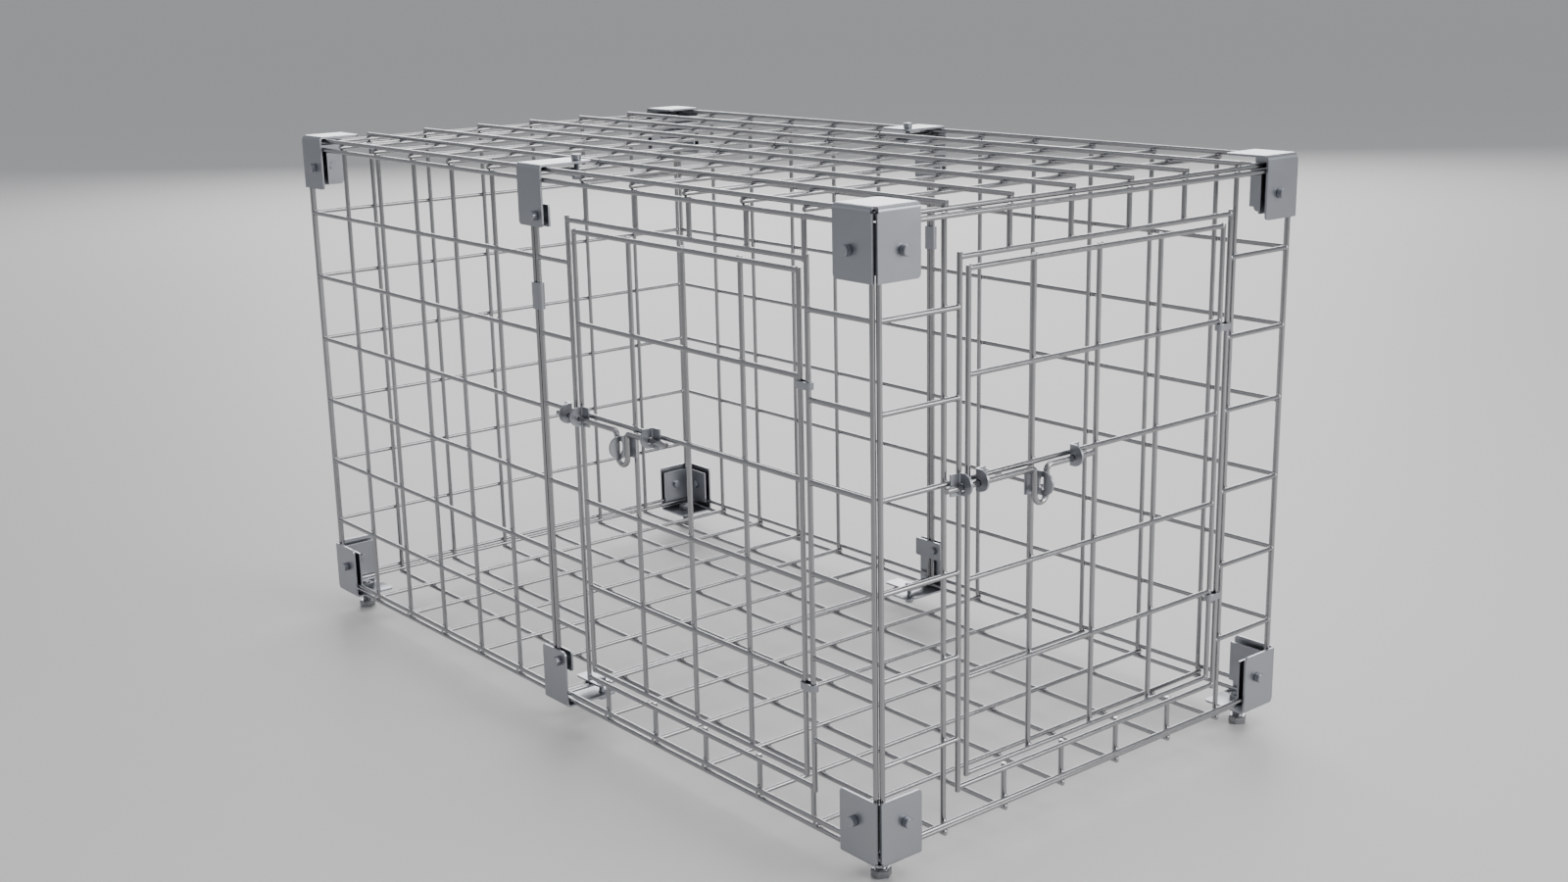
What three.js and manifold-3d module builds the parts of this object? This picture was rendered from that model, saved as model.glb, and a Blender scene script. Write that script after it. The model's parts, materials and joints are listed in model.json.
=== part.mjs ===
// Bolt-together wire kennel cage: ten welded wire panels clamped by sheet corner caps and
// mid straps, with a hinged door in the long front and one in the right end.
// Millimetres. X runs along the front, +Y to the back, +Z up. The origin is on the floor,
// under the middle of the cage. The front is at -Y and the right end is at +X.
import * as THREE from 'three';
import Module from 'manifold-3d';
import { mergeVertices } from 'three/addons/utils/BufferGeometryUtils.js';

const wasm = await Module();
wasm.setup();

// ---------------------------------------------------------------- driving dimensions
const WIRE = 4.5;                 // wire diameter
const FLATS = WIRE * Math.sqrt(Math.PI / (2 * Math.sqrt(3)));  // six-sided wire of equal area
const LAYER = FLATS + 0.17;       // distance between crossing wire layers
const GAP = 0.3;                  // clearance between separate pieces
const LONG_BAY = 75;              // mesh pitch along the front and back
const END_BAY = 70;               // mesh pitch along the ends
const RISE = 70;                  // mesh pitch upwards
const LONG_BAYS = 6;              // bays in each half of a long side
const END_BAYS = 7;
const HIGH_BAYS = 7;
const MID_X = 3;                  // centre line to the first wire of a half panel
const CORNER_STEP = 3.5;          // the end panel's edge wire stands this far round the corner
const BASE_Z = 34;                // floor to the side panels' bottom rail
const SHEET = 2;                  // thickness of caps, straps and clamps
const CAP_WIDE = 46;              // cap face along the rails
const CAP_TALL = 56;              // cap face upwards
const STRAP_WIDE = 39;
const STRAP_DEEP = 57;            // strap leg over the roof or under the floor
const BEND = 4;                   // outer bend radius of caps and straps
const SEAM = 2.4;                 // open corner between a cap's two faces
const RELIEF = 6;                 // round notch where a cap's three faces meet
const CORNER_ROUND = 4;           // free corners of caps and straps
const CLAMP_LOW = -37;            // corner clamp, from this far below the rail
const CLAMP_HIGH = 1.6;
const CLAMP_TALL = 20;            // mid clamps, across their stud
const STUD = 5;                   // stud through each clamp
const STUD_IN = 24;               // cap studs, inwards from the corner and down from the rail
const STUD_DOWN = 19.5;
const STRAP_STUD = 9;             // strap studs, sideways from the middle of the cage
const WALL_STUD_DOWN = 32;
const DECK_STUD_IN = 42;
const HEAD = 9;                   // stud heads outside and nuts inside
const HEAD_TALL = 5.5;
const NUT = 9;
const NUT_TALL = 4;
const FOOT_IN = 19;               // foot bolt axis, inwards from both wire planes
const FOOT_HEAD = 15;             // across the flats
const FOOT_TALL = 7;
const FOOT_SHANK = 10;
const FOOT_NUT_TALL = 6;
const SLEEVE_LOW = 371.5;         // sleeve round the two middle posts of a long wall
const SLEEVE_TALL = 25;
const CLIP_TALL = 6;              // hinge clips
const CLIP_SHEET = 1.5;           // thickness of sleeves and hinge clips

// doors
const OPEN_WIDE = 326;            // between the door posts' axes
const OPEN_LOW = 28;              // opening's bottom rail above the panel's bottom rail
const OPEN_HIGH = 458;
const POST_END = 4;               // a door post runs this far past the opening's rails
const DOOR_GAP = 9.5;             // post axis to door edge axis
const FRONT_POST = 380;           // centre line to the front door's hinge post
const DOOR_COLS = 4;
const DOOR_ROWS = 5;
const LATCH_ROW = 3;              // door rail that carries the bolt
const HINGE_ROWS = [1, 4];        // door rails with a hinge clip below them

// latch, measured from the door's free edge (s), outwards (n) and up from the latch rail (t)
const BOLT = 5;                   // bolt diameter
const BOLT_N = 6.9;
const BOLT_T = -3.2;
const BOLT_FROM = -30;
const BOLT_TO = 138;
const HANDLES = {                 // U-shaped handle and the tab inside it, with its foot's side
  front: { middle: 71.6, half: 7.5, foot: 9 },
  end: { middle: 75.5, half: 6.6, foot: -9 },
};
const HANDLE_DROP = 29.5;
const HANDLE_BEND = 5;
const LUG_SHEET = 2;              // guides, keeper and padlock tab
const FOOT_SHEET = 1.4;
const GUIDE_T = -1;
const GUIDE_N = 8;
const GUIDE_R = 9;
const GUIDE_FOOT = 9;
const GUIDES_S = [5, 113];
const KEEPER_S = -13;
const TAB_T = -16.5;
const TAB_N = 10.5;
const TAB_R = 10;
const TAB_SLOT = [6, 13];         // the padlock slot, outwards

// derived
const LONG_X = MID_X + LONG_BAY * LONG_BAYS;           // last wire of a half panel
const END_X = LONG_X + CORNER_STEP;                    // end panels' wire plane
const END_Y = END_BAY * END_BAYS / 2;                  // end panels' edge wires
const SIDE_Y = END_Y + CORNER_STEP;                    // long panels' wire plane
const HIGH = RISE * HIGH_BAYS;
const TOP_Z = BASE_Z + HIGH;
const HALF = FLATS / 2;                                // wire axis to its flats
const RIM = FLATS / Math.sqrt(3);                      // wire axis to its corners
const DECK_STEP = RIM + HALF + GAP;                    // side rail to the nearer deck layer
const DOOR_WIDE = OPEN_WIDE - 2 * DOOR_GAP;
const DOOR_LOW = OPEN_LOW + DOOR_GAP;
const DOOR_HIGH = OPEN_HIGH - DOOR_GAP;
const DOOR_BAY = DOOR_WIDE / DOOR_COLS;
const DOOR_RISE = (DOOR_HIGH - DOOR_LOW) / DOOR_ROWS;
const LATCH_T = DOOR_LOW + LATCH_ROW * DOOR_RISE;
const CAP_IN = WIRE / 2 + 0.25;                        // wire plane to a side plate's inside
const CAP_OUT = CAP_IN + SHEET;
const DECK_IN = DECK_STEP + LAYER + WIRE / 2 + 0.25;   // rail to a deck plate's inside
const DECK_OUT = DECK_IN + SHEET;
const CLAMP_OUT = -(WIRE / 2 + 0.35);                  // wire plane to a clamp's outside
const CLAMP_IN = CLAMP_OUT - SHEET;

// ---------------------------------------------------------------- solids
const X = new THREE.Vector3(1, 0, 0);
const Y = new THREE.Vector3(0, 1, 0);
const Z = new THREE.Vector3(0, 0, 1);
const flip = (v) => v.clone().negate();

function toSolid(geometry) {
  const plain = geometry.clone();
  plain.deleteAttribute('normal');
  plain.deleteAttribute('uv');
  const merged = mergeVertices(plain, 1e-4);
  return new wasm.Manifold(new wasm.Mesh({
    numProp: 3,
    vertProperties: new Float32Array(merged.attributes.position.array),
    triVerts: new Uint32Array(merged.index.array),
  }));
}

const join = (solids) => solids.reduce((all, one) => all.add(one));
const cut = (solid, tools) => tools.reduce((left, tool) => left.subtract(tool), solid);

// A flat outline in (u, v), extruded by depth along w from origin.
function plate(outline, origin, u, v, w, depth) {
  const geometry = new THREE.ExtrudeGeometry(outline, { depth, bevelEnabled: false, curveSegments: 2 });
  geometry.applyMatrix4(new THREE.Matrix4().makeBasis(u, v, w).setPosition(origin));
  return toSolid(geometry);
}

function polygon(sides, radius, turn = 0) {
  const points = [];
  for (let i = 0; i < sides; i += 1) {
    const angle = turn + 2 * Math.PI * i / sides;
    points.push(new THREE.Vector2(radius * Math.cos(angle), radius * Math.sin(angle)));
  }
  return new THREE.Shape(points);
}

// A right-handed prism along an axis: the section's first direction is flatwise.
function prism(section, from, along, flatwise, length) {
  const side = new THREE.Vector3().crossVectors(along, flatwise);
  return plate(section, from, flatwise, side, along, length);
}

const WIRE_SECTION = polygon(6, RIM, Math.PI / 6);
const WELD = 2;                   // side of the square weld between crossing wires

// A wire mesh drawn on a plane: s and t run in the plane, n is the outward normal.
class Mesh {
  constructor(origin, s, t, n) {
    Object.assign(this, { origin, s, t, n, solids: [] });
  }

  at(s, t, n = 0) {
    return this.origin.clone().addScaledVector(this.s, s).addScaledVector(this.t, t)
      .addScaledVector(this.n, n);
  }

  upright(s, low, high, layer = 0) {
    this.solids.push(prism(WIRE_SECTION, this.at(s, low, -layer * LAYER), this.t, this.n, high - low));
  }

  level(t, left, right, layer = 0) {
    this.solids.push(prism(WIRE_SECTION, this.at(left, t, -layer * LAYER), this.s, this.n, right - left));
  }

  weld(s, t) {
    const depth = LAYER - FLATS + 0.8;
    const corner = new THREE.Shape([[-1, -1], [1, -1], [1, 1], [-1, 1]]
      .map(([x, y]) => new THREE.Vector2(x * WELD / 2, y * WELD / 2)));
    this.solids.push(prism(corner, this.at(s, t, -(LAYER + depth) / 2), this.n, this.s, depth));
  }

  // Edge posts and rails in the outer layer, the rails meeting the posts end to side.
  frame(left, right, low, high) {
    for (const s of [left, right]) this.upright(s, low - RIM, high + RIM);
    for (const t of [low, high]) this.level(t, left, right);
  }

  // An inner-layer upright, welded to the rails at both its ends.
  innerUpright(s, low, high) {
    this.upright(s, low - RIM, high + RIM, 1);
    for (const t of [low, high]) this.weld(s, t);
  }

  // A sheet cut to an outline drawn in (t, n) that stands across the s direction.
  rib(outline, s, thick) {
    this.solids.push(plate(outline, this.at(s, 0), this.t, this.n, this.s, thick));
  }

  solid() {
    return join(this.solids);
  }
}

const steps = (count, pitch, from = 0) => Array.from({ length: count }, (_, i) => from + pitch * (i + 1));

// ---------------------------------------------------------------- panels
const longPlane = (front) => new Mesh(
  new THREE.Vector3(0, front ? -SIDE_Y : SIDE_Y, BASE_Z), X, Z, front ? flip(Y) : Y);
const endPlane = (right) => new Mesh(
  new THREE.Vector3(right ? END_X : -END_X, 0, BASE_Z), Y, Z, right ? X : flip(X));

function plainPanel(mesh, left, right, bays) {
  mesh.frame(left, right, 0, HIGH);
  for (const t of steps(HIGH_BAYS - 1, RISE)) mesh.level(t, left, right);
  for (const s of steps(bays - 1, (right - left) / bays, left)) mesh.innerUpright(s, 0, HIGH);
  return mesh.solid();
}

// Rails beside a door opening; the one near the latch lines up with the door's latch rail.
function sideRails(mesh, left, right) {
  for (const t of steps(HIGH_BAYS - 1, RISE)) {
    mesh.level(Math.abs(t - LATCH_T) < RISE / 4 ? LATCH_T : t, left, right);
  }
}

function doorwayStubs(mesh, places) {
  for (const s of places) {
    mesh.innerUpright(s, 0, OPEN_LOW);
    mesh.innerUpright(s, OPEN_HIGH, HIGH);
  }
}

function frontDoorPanel() {
  const mesh = longPlane(true);
  const freePost = FRONT_POST - OPEN_WIDE;
  const lastRib = MID_X + LONG_BAY * (LONG_BAYS - 1);
  mesh.frame(MID_X, LONG_X, 0, HIGH);
  for (const s of [freePost, FRONT_POST]) mesh.upright(s, OPEN_LOW - POST_END, OPEN_HIGH + POST_END);
  for (const t of [OPEN_LOW, OPEN_HIGH]) mesh.level(t, freePost, FRONT_POST);
  mesh.upright(lastRib, 0, OPEN_LOW);
  mesh.upright(lastRib, OPEN_HIGH, HIGH);
  sideRails(mesh, MID_X, freePost);
  sideRails(mesh, FRONT_POST, LONG_X);
  doorwayStubs(mesh, steps(LONG_BAYS - 2, LONG_BAY, MID_X));
  return mesh.solid();
}

function endDoorPanel() {
  const mesh = endPlane(true);
  const post = OPEN_WIDE / 2;
  mesh.frame(-END_Y, END_Y, 0, HIGH);
  for (const s of [-post, post]) mesh.upright(s, OPEN_LOW - POST_END, OPEN_HIGH + POST_END);
  for (const t of [OPEN_LOW, OPEN_HIGH]) mesh.level(t, -post, post);
  sideRails(mesh, -END_Y, -post);
  sideRails(mesh, post, END_Y);
  for (const side of [-1, 1]) mesh.innerUpright(side * (END_Y - END_BAY), 0, HIGH);
  doorwayStubs(mesh, steps(END_BAYS - 3, END_BAY, -END_Y + END_BAY));
  return mesh.solid();
}

// Roof and floor halves: long wires in the outer layer, cross wires in the inner one.
function deckPanel(right, up) {
  const z = up ? TOP_Z + DECK_STEP + LAYER : BASE_Z - DECK_STEP - LAYER;
  const mesh = new Mesh(new THREE.Vector3(0, 0, z), X, Y, up ? Z : flip(Z));
  const [low, high] = right ? [MID_X, LONG_X] : [-LONG_X, -MID_X];
  const rows = [-END_Y, ...steps(END_BAYS, END_BAY, -END_Y)];
  const columns = [low, ...steps(LONG_BAYS, LONG_BAY, low)];
  for (const t of rows) mesh.level(t, low - RIM, high + RIM);
  for (const s of columns) mesh.upright(s, -SIDE_Y, SIDE_Y, 1);
  for (const s of columns) {
    for (const t of rows) {
      const onEdge = s === columns[0] || s === columns.at(-1) || t === rows[0] || t === rows.at(-1);
      if (onEdge) mesh.weld(s, t);
    }
  }
  return mesh.solid();
}

// ---------------------------------------------------------------- doors and latches
// A door is drawn from its free edge (s = 0) to its hinged edge; t starts at the bottom rail.
const frontDoorway = () => new Mesh(
  new THREE.Vector3(FRONT_POST - OPEN_WIDE + DOOR_GAP, -SIDE_Y, BASE_Z), X, Z, flip(Y));
const endDoorway = () => new Mesh(
  new THREE.Vector3(END_X, -OPEN_WIDE / 2 + DOOR_GAP, BASE_Z), Y, Z, X);

function door(mesh) {
  mesh.frame(0, DOOR_WIDE, DOOR_LOW, DOOR_HIGH);
  for (const t of steps(DOOR_ROWS - 1, DOOR_RISE, DOOR_LOW)) mesh.level(t, 0, DOOR_WIDE);
  for (const s of steps(DOOR_COLS - 1, DOOR_BAY)) mesh.innerUpright(s, DOOR_LOW, DOOR_HIGH);
  return mesh.solid();
}

// A stadium-shaped outline round two axes that lie span apart.
function stadium(radius, span) {
  const shape = new THREE.Shape();
  shape.absarc(0, 0, radius, Math.PI / 2, 3 * Math.PI / 2);
  shape.absarc(span, 0, radius, -Math.PI / 2, Math.PI / 2);
  return shape;
}

// A strip bent into a closed band round two parallel uprights.
function band(mesh, s, span, low, tall, thick) {
  const across = new THREE.Vector3().crossVectors(mesh.t, mesh.s);
  const loop = (radius, extra) => plate(
    stadium(radius, span), mesh.at(s, low - extra), mesh.s, across, mesh.t, tall + 2 * extra);
  return loop(RIM + GAP + thick, 0).subtract(loop(RIM + GAP, 1));
}

function hingeClip(mesh, row) {
  const top = DOOR_LOW + row * DOOR_RISE - RIM - GAP;
  return band(mesh, DOOR_WIDE, DOOR_GAP, top - CLIP_TALL, CLIP_TALL, CLIP_SHEET);
}

// A D-shaped lug in (t, n): straight at its base and round at its outer end.
function lug(base, middleT, middleN, radius) {
  const shape = new THREE.Shape();
  shape.moveTo(middleT + radius, base);
  shape.lineTo(middleT + radius, middleN);
  shape.absarc(middleT, middleN, radius, 0, Math.PI);
  shape.lineTo(middleT - radius, base);
  return shape;
}

const rectangle = (low, high, base, top) => new THREE.Shape(
  [[low, base], [high, base], [high, top], [low, top]].map(([x, y]) => new THREE.Vector2(x, y)));

// A lug with its foot bent flat along the wires, towards +s or -s.
function bracket(mesh, s, foot, base, outline, low, high) {
  mesh.rib(outline, s, LUG_SHEET);
  const [from, to] = foot > 0 ? [s, s + LUG_SHEET + foot] : [s + foot, s + LUG_SHEET];
  mesh.rib(rectangle(low, high, base, base + FOOT_SHEET), from, to - from);
  return mesh.solid();
}

// Guide or keeper: the bolt slides through a round hole in its lug.
function boltGuide(mesh, s, foot) {
  const base = HALF + GAP;
  const middle = LATCH_T + GUIDE_T;
  const outline = lug(base, middle, GUIDE_N, GUIDE_R);
  const solid = bracket(mesh, s, foot, base, outline, middle - GUIDE_R, middle + GUIDE_R);
  const hole = plate(polygon(10, BOLT / 2 + 2 * GAP), mesh.at(s - 1, LATCH_T + BOLT_T, BOLT_N),
    mesh.t, mesh.n, mesh.s, LUG_SHEET + 2);
  return solid.subtract(hole);
}

// Padlock tab: it stands inside the bolt's handle, on an inner upright of the door.
function lockTab(mesh, { middle, foot }) {
  const base = HALF - LAYER + GAP;
  const level = LATCH_T + TAB_T;
  const outline = lug(base, level, TAB_N, TAB_R);
  const from = middle - LUG_SHEET / 2;
  const solid = bracket(mesh, from, foot, base, outline, level - TAB_R, level + TAB_R);
  const slot = plate(rectangle(level - TAB_R / 2, level + TAB_R / 2, ...TAB_SLOT), mesh.at(from - 1, 0),
    mesh.t, mesh.n, mesh.s, LUG_SHEET + 2);
  return solid.subtract(slot);
}

// One round rod, bent down, round and up again into a U-shaped handle.
function latchBolt(mesh, { middle, half }) {
  const rod = (from, to) => plate(polygon(10, BOLT / 2), mesh.at(from, LATCH_T + BOLT_T, BOLT_N),
    mesh.t, mesh.n, mesh.s, to - from);
  const point = (s, drop) => mesh.at(middle + s, LATCH_T + BOLT_T - drop, BOLT_N);
  const corner = half + HANDLE_BEND;
  const stations = [[-corner - 1, 0], [-corner, 0], [-half, 0], [-half, HANDLE_BEND],
    [-half, HANDLE_DROP - half], [-half, HANDLE_DROP], [0, HANDLE_DROP], [half, HANDLE_DROP],
    [half, HANDLE_DROP - half], [half, HANDLE_BEND], [half, 0], [corner, 0], [corner + 1, 0]]
    .map((station) => point(...station));
  const path = new THREE.CurvePath();
  const line = (i) => path.add(new THREE.LineCurve3(stations[i], stations[i + 1]));
  const bend = (i) => path.add(new THREE.QuadraticBezierCurve3(...stations.slice(i, i + 3)));
  line(0);
  bend(1);
  line(3);
  bend(4);
  bend(6);
  line(8);
  bend(9);
  line(11);
  const handle = new THREE.ExtrudeGeometry(polygon(8, BOLT / 2), { steps: 32, extrudePath: path });
  return join([rod(BOLT_FROM, middle - corner), toSolid(handle), rod(middle + corner, BOLT_TO)]);
}

// ---------------------------------------------------------------- caps, straps and clamps
// These are drawn in (a, b, c): outwards along X, outwards along Y and outwards along Z from
// the corner where the wire planes and the top or bottom rails meet.
const A = new THREE.Vector3(1, 0, 0);
const B = new THREE.Vector3(0, 1, 0);
const C = new THREE.Vector3(0, 0, 1);

// An L-bent strip: one leg under the outer plane u = CAP_OUT, the other under v = DECK_OUT.
function bentProfile(uEnd, vEnd) {
  const shape = new THREE.Shape();
  shape.moveTo(CAP_OUT, vEnd);
  shape.lineTo(CAP_OUT, DECK_OUT - BEND);
  shape.absarc(CAP_OUT - BEND, DECK_OUT - BEND, BEND, 0, Math.PI / 2);
  shape.lineTo(uEnd, DECK_OUT);
  shape.lineTo(uEnd, DECK_IN);
  shape.absarc(CAP_OUT - BEND, DECK_OUT - BEND, BEND - SHEET, Math.PI / 2, 0, true);
  shape.lineTo(CAP_IN, vEnd);
  return shape;
}

// A rectangle in (u, v) whose corners at uLow, vLow (and uHigh, if both) are rounded.
function roundedFlap(uLow, uHigh, vLow, vHigh, radius, both) {
  const shape = new THREE.Shape();
  shape.moveTo(uLow, vHigh);
  shape.lineTo(uLow, vLow + radius);
  shape.absarc(uLow + radius, vLow + radius, radius, Math.PI, 3 * Math.PI / 2);
  if (both) shape.absarc(uHigh - radius, vLow + radius, radius, -Math.PI / 2, 0);
  else shape.lineTo(uHigh, vLow);
  shape.lineTo(uHigh, vHigh);
  return shape;
}

const at = (a, b, c) => new THREE.Vector3(a, b, c);
const round = (sides, radius, from, u, v, w, depth) => plate(polygon(sides, radius), from, u, v, w, depth);

function cornerCap(hasFoot) {
  const inner = CAP_OUT - CAP_WIDE;
  const low = DECK_OUT - CAP_TALL;
  const seam = CAP_IN - SEAM / 2;
  const far = DECK_OUT + 1;
  const profile = bentProfile(inner, low);
  const alongB = plate(profile, at(0, seam, 0), A, C, flip(B), seam - inner);
  const alongA = plate(profile, at(inner, 0, 0), B, C, A, seam - inner);
  const trims = [
    plate(roundedFlap(inner, CAP_OUT + 1, low, far, CORNER_ROUND), at(inner - 1, 0, 0), B, C, A, CAP_WIDE + 2),
    plate(roundedFlap(inner, CAP_OUT + 1, low, far, CORNER_ROUND), at(0, CAP_OUT + 1, 0), A, C, flip(B),
      CAP_WIDE + 2),
    plate(roundedFlap(inner, CAP_OUT + 1, inner, CAP_OUT + 1, CORNER_ROUND), at(0, 0, low - 1), A, B, C,
      CAP_TALL + 2),
  ];
  const holes = [
    round(8, STUD / 2 + 2 * GAP, at(0, -STUD_IN, -STUD_DOWN), B, C, A, CAP_OUT + 1),
    round(8, STUD / 2 + 2 * GAP, at(-STUD_IN, CAP_OUT + 1, -STUD_DOWN), A, C, flip(B), CAP_OUT + 1),
    round(8, RELIEF / 2, at(CAP_IN, CAP_IN, DECK_IN - 3), A, B, C, SHEET + 4),
  ];
  if (hasFoot) {
    holes.push(round(8, FOOT_SHANK / 2 + 2 * GAP, at(-FOOT_IN, -FOOT_IN, DECK_IN - 1), A, B, C, SHEET + 2));
  }
  const sheet = trims.reduce((left, trim) => left.intersect(trim), alongA.add(alongB));
  return cut(sheet, holes);
}

// Stud with a round head outside the sheet and a hexagonal nut inside the clamp.
function stud(foot, u, v, out, headFrom, nutFrom) {
  const along = (sides, radius, from, to) => round(sides, radius, foot.clone().addScaledVector(out, from),
    u, v, out, to - from);
  return along(8, STUD / 2, nutFrom, headFrom + 1)
    .add(along(10, HEAD / 2, headFrom, headFrom + HEAD_TALL))
    .add(along(6, NUT / 2, nutFrom - NUT_TALL, nutFrom));
}

function cornerClamp() {
  const end = CAP_OUT - CAP_WIDE + 0.5;
  const angle = new THREE.Shape([[CLAMP_OUT, CLAMP_OUT - 3], [CLAMP_OUT, end], [CLAMP_IN, end],
    [CLAMP_IN, CLAMP_IN], [end, CLAMP_IN], [end, CLAMP_OUT], [CLAMP_OUT - 3, CLAMP_OUT]]
    .map(([x, y]) => new THREE.Vector2(x, y)));
  return plate(angle, at(0, 0, CLAMP_LOW), A, B, C, CLAMP_HIGH - CLAMP_LOW)
    .add(stud(at(0, -STUD_IN, -STUD_DOWN), B, C, A, CAP_OUT + GAP, CLAMP_IN + 0.1))
    .add(stud(at(-STUD_IN, 0, -STUD_DOWN), C, A, B, CAP_OUT + GAP, CLAMP_IN + 0.1));
}

// Foot: a hexagonal bolt head on the floor, its shank through the cap and a nut above it.
function foot() {
  const low = -BASE_Z;
  const piece = (sides, radius, from, to) => round(sides, radius, at(-FOOT_IN, -FOOT_IN, from),
    A, B, C, to - from);
  return piece(6, FOOT_HEAD / Math.sqrt(3), low, low + FOOT_TALL)
    .add(piece(8, FOOT_SHANK / 2, low + FOOT_TALL - 1, -DECK_IN + GAP + FOOT_NUT_TALL + 2))
    .add(piece(6, FOOT_HEAD / Math.sqrt(3), -DECK_IN + GAP, -DECK_IN + GAP + FOOT_NUT_TALL));
}

// Mid straps: a leg outside the long wall and a leg over the roof (or under the floor).
function midStrap() {
  const half = STRAP_WIDE / 2;
  const inner = CAP_OUT - STRAP_DEEP;
  const low = DECK_OUT - CAP_TALL;
  const sheet = plate(bentProfile(inner, low), at(-half, 0, 0), B, C, A, STRAP_WIDE);
  const wallTrim = plate(roundedFlap(-half, half, low, DECK_OUT + 1, CORNER_ROUND, true),
    at(0, CAP_OUT + 1, 0), A, C, flip(B), STRAP_DEEP + 2);
  const deckTrim = plate(roundedFlap(-half, half, inner, CAP_OUT + 1, CORNER_ROUND, true),
    at(0, 0, low - 1), A, B, C, CAP_TALL + 2);
  return cut(sheet.intersect(wallTrim).intersect(deckTrim), [
    round(8, STUD / 2 + 2 * GAP, at(STRAP_STUD, CAP_OUT + 1, -WALL_STUD_DOWN), A, C, flip(B), SHEET + 2),
    round(8, STUD / 2 + 2 * GAP, at(STRAP_STUD, -DECK_STUD_IN, DECK_IN - 1), A, B, C, SHEET + 2),
  ]);
}

function wallClamp() {
  const half = STRAP_WIDE / 2;
  const outline = rectangle(-half, half, -WALL_STUD_DOWN - CLAMP_TALL / 2, -WALL_STUD_DOWN + CLAMP_TALL / 2);
  return plate(outline, at(0, CLAMP_OUT, 0), A, C, flip(B), SHEET)
    .add(stud(at(STRAP_STUD, 0, -WALL_STUD_DOWN), C, A, B, CAP_OUT + GAP, CLAMP_IN + 0.1));
}

function deckClamp() {
  const half = STRAP_WIDE / 2;
  const top = DECK_STEP - HALF - GAP;
  const outline = rectangle(-half, half, -DECK_STUD_IN - CLAMP_TALL / 2, -DECK_STUD_IN + CLAMP_TALL / 2);
  return plate(outline, at(0, 0, top - SHEET), A, B, C, SHEET)
    .add(stud(at(STRAP_STUD, -DECK_STUD_IN, 0), A, B, C, DECK_OUT + GAP, top - SHEET + 0.1));
}

// ---------------------------------------------------------------- assembly
const finishes = {
  wire: new THREE.MeshStandardMaterial({ color: 0xc9cbcf, roughness: 0.25, metalness: 1 }),
  sheet: new THREE.MeshStandardMaterial({ color: 0xb2b6ba, roughness: 0.38, metalness: 1 }),
  fastener: new THREE.MeshStandardMaterial({ color: 0x9fa2a6, roughness: 0.35, metalness: 1 }),
};

const group = new THREE.Group();
const cage = new THREE.Group();
group.add(cage);

function addPiece(name, solid, finish, matrix = new THREE.Matrix4()) {
  const { vertProperties, triVerts } = solid.getMesh();
  const geometry = new THREE.BufferGeometry();
  const index = Array.from(triVerts);
  if (matrix.determinant() < 0) {
    for (let i = 0; i < index.length; i += 3) [index[i], index[i + 1]] = [index[i + 1], index[i]];
  }
  geometry.setAttribute('position', new THREE.BufferAttribute(new Float32Array(vertProperties), 3));
  geometry.setIndex(index);
  geometry.applyMatrix4(matrix);
  geometry.computeVertexNormals();
  const mesh = new THREE.Mesh(geometry, finishes[finish].clone());
  mesh.name = name;
  cage.add(mesh);
}

// Matrix that puts (a, b, c) at a corner, or at the middle of a long wall when side is 0.
function placed(side, back, up) {
  const matrix = new THREE.Matrix4().makeScale(side || 1, back ? 1 : -1, up ? 1 : -1);
  return matrix.setPosition(side * END_X, back ? SIDE_Y : -SIDE_Y, up ? TOP_Z : BASE_Z);
}

addPiece('front_left_panel', plainPanel(longPlane(true), -LONG_X, -MID_X, LONG_BAYS), 'wire');
addPiece('front_door_panel', frontDoorPanel(), 'wire');
addPiece('back_left_panel', plainPanel(longPlane(false), -LONG_X, -MID_X, LONG_BAYS), 'wire');
addPiece('back_right_panel', plainPanel(longPlane(false), MID_X, LONG_X, LONG_BAYS), 'wire');
addPiece('left_end_panel', plainPanel(endPlane(false), -END_Y, END_Y, END_BAYS), 'wire');
addPiece('right_end_panel', endDoorPanel(), 'wire');
for (const [level, up] of [['roof', true], ['floor', false]]) {
  addPiece(`${level}_left_panel`, deckPanel(false, up), 'wire');
  addPiece(`${level}_right_panel`, deckPanel(true, up), 'wire');
}

for (const [name, doorway] of [['front', frontDoorway], ['end', endDoorway]]) {
  addPiece(`${name}_door`, door(doorway()), 'wire');
  addPiece(`${name}_latch_bolt`, latchBolt(doorway(), HANDLES[name]), 'wire');
  addPiece(`${name}_bolt_keeper`, boltGuide(doorway(), KEEPER_S, -GUIDE_FOOT), 'sheet');
  addPiece(`${name}_bolt_guide_outer`, boltGuide(doorway(), GUIDES_S[0], GUIDE_FOOT), 'sheet');
  addPiece(`${name}_bolt_guide_inner`, boltGuide(doorway(), GUIDES_S[1], GUIDE_FOOT), 'sheet');
  addPiece(`${name}_lock_tab`, lockTab(doorway(), HANDLES[name]), 'sheet');
  addPiece(`${name}_hinge_lower`, hingeClip(doorway(), HINGE_ROWS[0]), 'sheet');
  addPiece(`${name}_hinge_upper`, hingeClip(doorway(), HINGE_ROWS[1]), 'sheet');
}

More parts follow.
